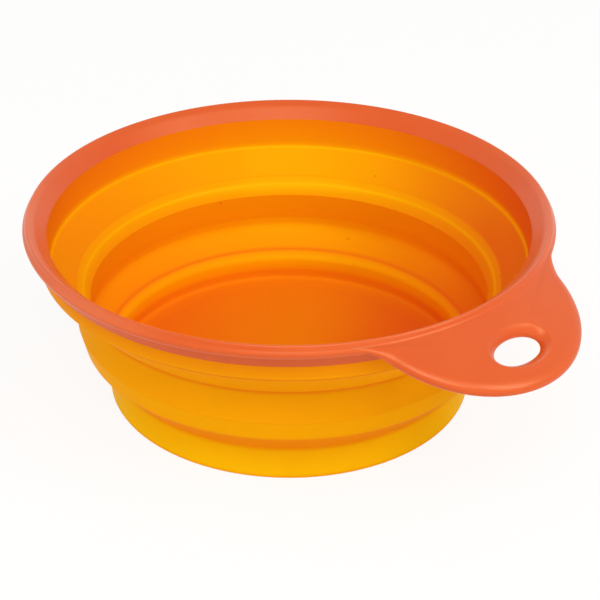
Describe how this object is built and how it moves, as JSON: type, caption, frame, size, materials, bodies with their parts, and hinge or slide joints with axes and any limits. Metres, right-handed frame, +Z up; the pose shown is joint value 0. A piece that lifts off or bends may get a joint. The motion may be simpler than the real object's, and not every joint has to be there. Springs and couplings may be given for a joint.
{
  "type": "collapsible travel bowl",
  "caption": "Round silicone bowl that folds flat: stacked rings joined by thin folds, hung from a stiff coral rim with a flat hang tab and oval hole.",
  "frame": {"origin": "centre of the flat underside, on the bowl's axis", "axes": "+Z up along the bowl's axis, +X from the axis towards the hang tab"},
  "size_m": [0.1609, 0.1402, 0.052],
  "materials": {
    "silicone": "satin, translucent yellow-orange silicone",
    "silicone_fold": "satin, translucent silicone, thinner and so lighter and yellower",
    "rim": "satin coral, soft-touch moulding"
  },
  "bodies": {
    "base": {"base_floor": "silicone", "lower_wall": "silicone", "lower_fold": "silicone_fold"},
    "middle": {"middle_wall": "silicone", "upper_fold": "silicone_fold"},
    "rim": {"collar": "silicone", "rim_with_tab": "rim"}
  },
  "joints": [
    {"name": "lower_fold_slide", "type": "slide", "parent": "base", "child": "middle", "axis": [0, 0, 1], "range_m": [-0.014, 0], "deforming": ["lower_fold"]},
    {"name": "upper_fold_slide", "type": "slide", "parent": "middle", "child": "rim", "axis": [0, 0, 1], "range_m": [-0.019, 0], "deforming": ["upper_fold"]}
  ]
}
